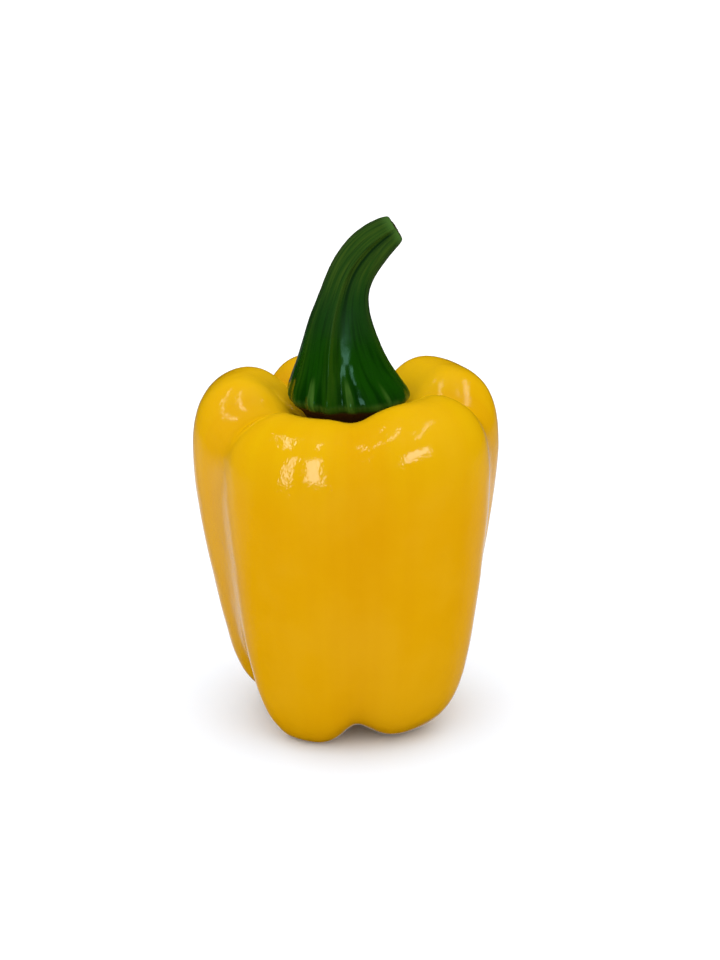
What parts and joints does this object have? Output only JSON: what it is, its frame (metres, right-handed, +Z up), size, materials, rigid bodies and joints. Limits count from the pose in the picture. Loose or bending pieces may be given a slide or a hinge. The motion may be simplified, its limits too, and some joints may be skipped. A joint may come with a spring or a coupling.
{
  "type": "bell pepper",
  "caption": "Blocky yellow bell pepper with rounded lobes and soft grooves, a hollow crown, and a thick bent green stem with a ribbed calyx.",
  "frame": {"origin": "point on the surface the pepper stands on, under the middle of the whole pepper's box", "axes": "+Z up along the fruit and its stem; the front, with the shallowest groove, faces -Y, and the stem bends towards +X"},
  "size_m": [0.0822, 0.0822, 0.1372],
  "materials": {
    "fruit_skin": "gloss",
    "stem_green": "gloss"
  },
  "bodies": {
    "root": {"fruit": "fruit_skin", "stem": "stem_green"}
  },
  "joints": []
}
